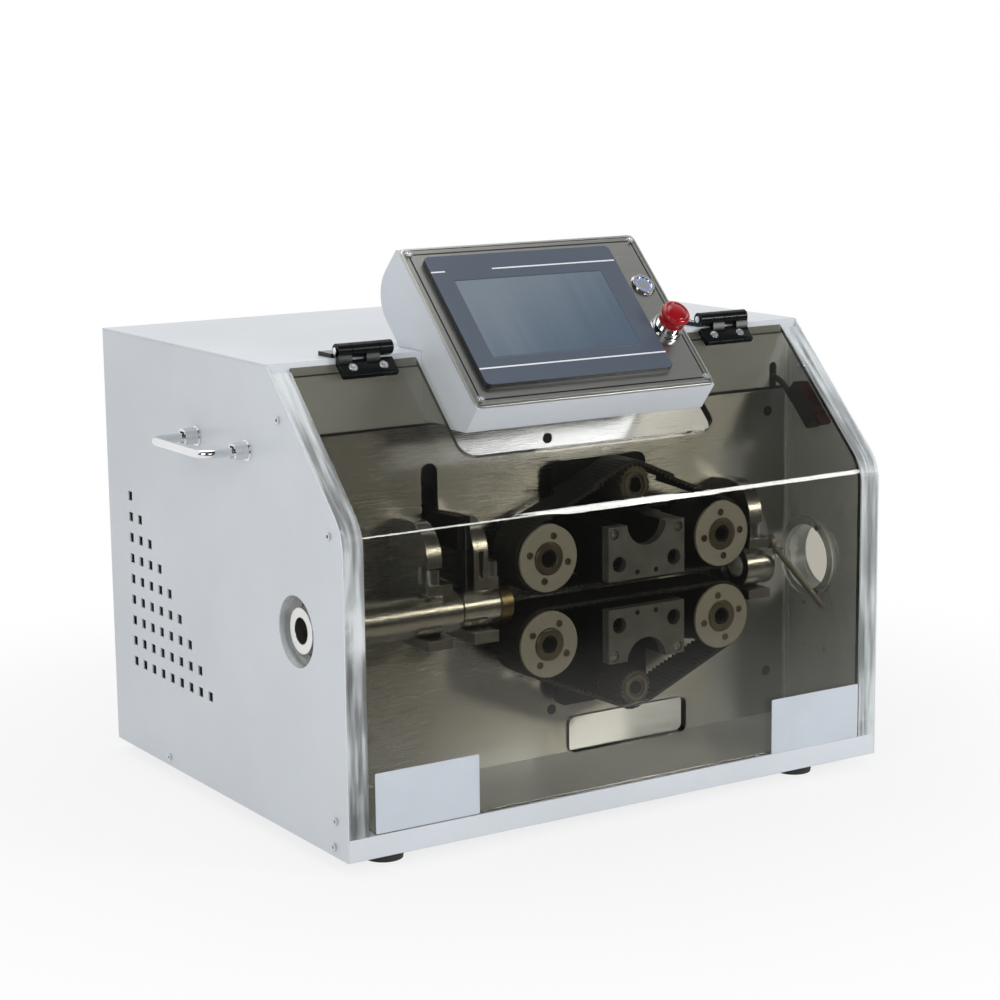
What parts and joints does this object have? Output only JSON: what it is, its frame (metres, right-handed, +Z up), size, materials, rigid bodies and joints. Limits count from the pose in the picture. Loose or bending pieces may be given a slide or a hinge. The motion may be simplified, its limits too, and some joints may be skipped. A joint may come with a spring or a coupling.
{
  "type": "tube cutting machine",
  "caption": "Bench tube cutting machine: white cabinet, smoked folding cover, two driven belts that feed a tube to a dropping blade, tilted touch panel, folding handles.",
  "frame": {"origin": "middle of the footprint, on the surface that the feet stand on", "axes": "+X to the right seen from the front, along the tube; +Y to the back; +Z up"},
  "size_m": [0.686, 0.4794, 0.5174],
  "materials": {
    "white_sheet": "white powder coat, satin",
    "clear_acrylic": "clear polished acrylic",
    "smoked_acrylic": "smoked polished acrylic",
    "brushed_plate": "brushed stainless steel",
    "panel_steel": "brushed stainless steel",
    "polished_steel": "bright turned and polished steel",
    "zinc_steel": "zinc plated",
    "frame_steel": "grey paint",
    "brass": "turned brass",
    "black_metal": "black coat, satin",
    "black_oxide": "black oxide",
    "black_plastic": "matt",
    "bezel_plastic": "blue-grey, fine matt",
    "screen": "screen that is off",
    "rubber": "matt",
    "belt_rubber": "fine ribbed",
    "block_metal": "grey hard coat",
    "roller_metal": "turned",
    "motor_black": "black coat",
    "motor_aluminium": "cast, dark",
    "blade_steel": "ground",
    "chrome": "polished",
    "red_plastic": "gloss",
    "blue_lit": "lit ring",
    "key_plastic": "matt",
    "box_metal": "plain sheet",
    "circuit_green": "matt"
  },
  "bodies": {
    "cabinet": {"base_pan": "white_sheet", "left_side_panel": "white_sheet", "right_side_panel": "white_sheet", "top_panel": "white_sheet", "rear_panel": "white_sheet", "inner_frame": "frame_steel", "rubber_feet": "rubber", "cabinet_screws": "zinc_steel", "left_window": "clear_acrylic", "right_window": "clear_acrylic", "mounting_plate": "brushed_plate", "inlet_ring": "clear_acrylic", "outlet_tube": "polished_steel", "tube_bushes": "polished_steel", "bush_flange": "brass", "tube_brackets": "polished_steel", "socket_screws": "black_oxide", "hinge_bases": "black_metal", "panel_housing": "white_sheet", "panel_plate": "panel_steel", "touch_screen": "bezel_plastic", "screen_glass": "screen", "power_button_body": "chrome", "estop_body": "chrome", "handle_ferrules": "chrome", "safety_switch": "black_plastic", "switch_cable": "black_plastic", "cutter_rail": "blade_steel", "cutter_motor": "motor_aluminium", "cutter_supports": "frame_steel", "power_supply": "box_metal", "motor_drivers": "black_plastic", "controller": "circuit_green", "power_inlet": "black_plastic"},
    "cover": {"smoked_cover": "smoked_acrylic", "hinge_leaves": "black_metal", "switch_key": "key_plastic"},
    "upper_feed": {"upper_carriage": "black_metal", "upper_block": "block_metal", "upper_belt": "belt_rubber", "upper_motor": "motor_aluminium"},
    "upper_left_roller": {"upper_left_roller": "roller_metal"},
    "upper_right_roller": {"upper_right_roller": "roller_metal"},
    "upper_idler": {"upper_idler": "roller_metal"},
    "lower_feed": {"lower_carriage": "black_metal", "lower_block": "block_metal", "lower_belt": "belt_rubber", "lower_motor": "motor_aluminium"},
    "lower_left_roller": {"lower_left_roller": "roller_metal"},
    "lower_right_roller": {"lower_right_roller": "roller_metal"},
    "lower_idler": {"lower_idler": "roller_metal"},
    "blade_slide": {"blade_carriage": "block_metal", "cutting_blade": "blade_steel"},
    "cutter_screw": {"cutter_screw": "blade_steel"},
    "guide_lever": {"guide_lever": "polished_steel"},
    "left_handle": {"left_handle": "chrome"},
    "right_handle": {"right_handle": "chrome"},
    "estop_stem": {"estop_stem": "black_plastic"},
    "estop_cap": {"estop_cap": "red_plastic"},
    "power_button": {"power_button": "blue_lit"}
  },
  "joints": [
    {"name": "cover_hinge", "type": "hinge", "parent": "cabinet", "child": "cover", "pos_m": [0, -0.11475, 0.4351], "axis": [-1, 0, 0], "range_deg": [0, 100]},
    {"name": "upper_feed_gap", "type": "slide", "parent": "cabinet", "child": "upper_feed", "axis": [0, 0, 1], "range_m": [-0.004, 0.012]},
    {"name": "lower_feed_gap", "type": "slide", "parent": "cabinet", "child": "lower_feed", "axis": [0, 0, -1], "range_m": [-0.004, 0.012]},
    {"name": "upper_right_roller_turn", "type": "hinge", "parent": "upper_feed", "child": "upper_right_roller", "pos_m": [0.147, -0.15475, 0.239], "axis": [0, 1, 0], "continuous": true},
    {"name": "upper_left_roller_turn", "type": "hinge", "parent": "upper_feed", "child": "upper_left_roller", "pos_m": [-0.05, -0.15475, 0.239], "axis": [0, 1, 0], "continuous": true},
    {"name": "upper_idler_turn", "type": "hinge", "parent": "upper_feed", "child": "upper_idler", "pos_m": [0.0485, -0.15475, 0.295], "axis": [0, 1, 0], "continuous": true},
    {"name": "lower_right_roller_turn", "type": "hinge", "parent": "lower_feed", "child": "lower_right_roller", "pos_m": [0.147, -0.15475, 0.159], "axis": [0, 1, 0], "continuous": true},
    {"name": "lower_left_roller_turn", "type": "hinge", "parent": "lower_feed", "child": "lower_left_roller", "pos_m": [-0.05, -0.15475, 0.159], "axis": [0, 1, 0], "continuous": true},
    {"name": "lower_idler_turn", "type": "hinge", "parent": "lower_feed", "child": "lower_idler", "pos_m": [0.0485, -0.15475, 0.103], "axis": [0, 1, 0], "continuous": true},
    {"name": "cutter_stroke", "type": "slide", "parent": "cabinet", "child": "blade_slide", "axis": [0, 0, -1], "range_m": [0, 0.036]},
    {"name": "cutter_screw_turn", "type": "hinge", "parent": "cabinet", "child": "cutter_screw", "pos_m": [-0.15, -0.07175, 0.252], "axis": [0, 0, 1], "range_deg": [0, 1300]},
    {"name": "guide_lever_turn", "type": "hinge", "parent": "cabinet", "child": "guide_lever", "pos_m": [0.21, -0.17675, 0.223], "axis": [1, 0, 0], "range_deg": [0, 24]},
    {"name": "left_handle_fold", "type": "hinge", "parent": "cabinet", "child": "left_handle", "pos_m": [-0.302, -0.02035, 0.3475], "axis": [0, -1, 0], "range_deg": [0, 90]},
    {"name": "right_handle_fold", "type": "hinge", "parent": "cabinet", "child": "right_handle", "pos_m": [0.302, -0.02035, 0.3475], "axis": [0, 1, 0], "range_deg": [0, 90]},
    {"name": "estop_press", "type": "slide", "parent": "cabinet", "child": "estop_stem", "axis": [0, 0.7009, -0.7133], "range_m": [0, 0.004], "stiffness_N_per_m": 800},
    {"name": "estop_twist", "type": "hinge", "parent": "estop_stem", "child": "estop_cap", "pos_m": [0.1001, -0.16964, 0.44613], "axis": [0, 0.7009, -0.7133], "range_deg": [0, 30], "stiffness_Nm_per_rad": 0.05},
    {"name": "power_press", "type": "slide", "parent": "cabinet", "child": "power_button", "axis": [0, 0.7009, -0.7133], "range_m": [0, 0.002], "stiffness_N_per_m": 400}
  ],
  "couplings": [
    {"joint": "lower_feed_gap", "follows": "upper_feed_gap", "ratio": 1},
    {"joint": "upper_left_roller_turn", "follows": "upper_right_roller_turn", "ratio": 1},
    {"joint": "upper_idler_turn", "follows": "upper_right_roller_turn", "ratio": 1.6107},
    {"joint": "lower_right_roller_turn", "follows": "upper_right_roller_turn", "ratio": -1},
    {"joint": "lower_left_roller_turn", "follows": "upper_right_roller_turn", "ratio": -1},
    {"joint": "lower_idler_turn", "follows": "upper_right_roller_turn", "ratio": -1.6107},
    {"joint": "cutter_screw_turn", "follows": "cutter_stroke", "rad_per_m": 628.32}
  ]
}
